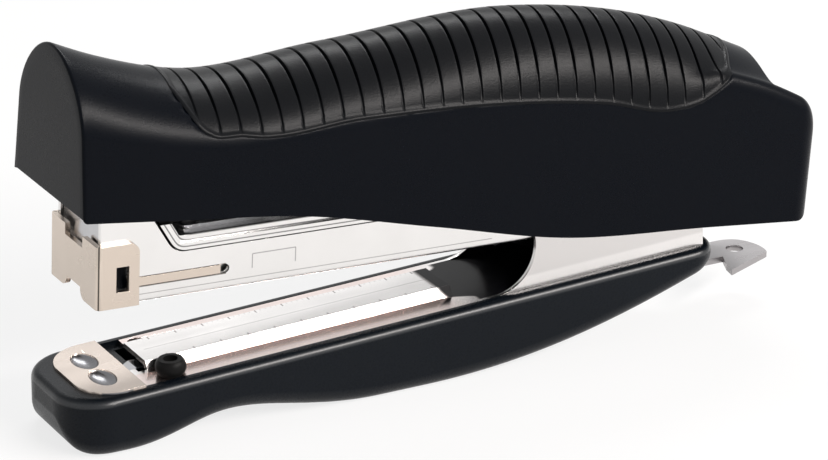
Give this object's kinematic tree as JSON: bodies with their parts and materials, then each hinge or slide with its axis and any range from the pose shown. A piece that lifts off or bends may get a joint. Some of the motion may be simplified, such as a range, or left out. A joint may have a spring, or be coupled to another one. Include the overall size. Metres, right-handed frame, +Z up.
{
  "type": "stapler",
  "caption": "Hand stapler with a ribbed grip handle that stands on its flat front face, a hinged staple magazine with a lid and spring pusher, and a steel base in a plastic shoe.",
  "frame": {"origin": "on the table, below the middle of the whole object", "axes": "+X from the nose to the rear, +Y across to the left of someone who looks along +X, +Z up"},
  "size_m": [0.1262, 0.0262, 0.0602],
  "materials": {
    "black_plastic": "satin moulded black",
    "soft_grip": "soft matt with thin cross grooves",
    "rubber": "matt black",
    "nickel": "warm bright nickel",
    "bright_steel": "bright plated sheet",
    "spring_steel": "plain spring steel",
    "plated_steel": "zinc plated",
    "black_plastic_inside": "plain moulded black"
  },
  "bodies": {
    "base": {"base_channel": "bright_steel", "base_shoe": "black_plastic", "anvil_plate": "nickel", "anvil_spring": "spring_steel", "base_buffer": "rubber", "staple_remover": "spring_steel", "base_rivets": "plated_steel", "lift_spring": "spring_steel", "hinge_pin": "plated_steel"},
    "magazine": {"magazine_case": "bright_steel", "nose_bracket": "nickel", "staple_rail": "plated_steel", "guide_rod": "plated_steel", "spring_stop": "black_plastic_inside", "pusher_spring": "spring_steel"},
    "pusher": {"pusher": "black_plastic_inside"},
    "cover": {"magazine_lid": "bright_steel", "stop_pad": "rubber", "handle_spring": "spring_steel", "spring_rivet": "plated_steel"},
    "handle": {"handle_shell": "black_plastic", "grip_insert": "soft_grip", "handle_bridge": "plated_steel", "driver_blade": "spring_steel", "blade_rivets": "plated_steel", "frame_screws": "plated_steel"}
  },
  "joints": [
    {"name": "magazine_close", "type": "hinge", "parent": "base", "child": "magazine", "pos_m": [0.03887, 0, 0.02548], "axis": [0, 1, 0], "range_deg": [-6.3, 0], "stiffness_Nm_per_rad": 2, "springref_deg": 3.44, "deforming": ["lift_spring"]},
    {"name": "cover_lift", "type": "hinge", "parent": "magazine", "child": "cover", "pos_m": [0.03887, 0, 0.02548], "axis": [0, 1, 0], "range_deg": [0, 18]},
    {"name": "handle_press", "type": "hinge", "parent": "cover", "child": "handle", "pos_m": [0.03887, 0, 0.02548], "axis": [0, 1, 0], "range_deg": [-4.3, 0], "stiffness_Nm_per_rad": 3, "springref_deg": 2.86, "deforming": ["handle_spring"]},
    {"name": "pusher_slide", "type": "slide", "parent": "magazine", "child": "pusher", "axis": [0.9993, 0, -0.0384], "range_m": [0, 0.038], "stiffness_N_per_m": 40, "springref_m": -0.02, "deforming": ["pusher_spring"]}
  ]
}
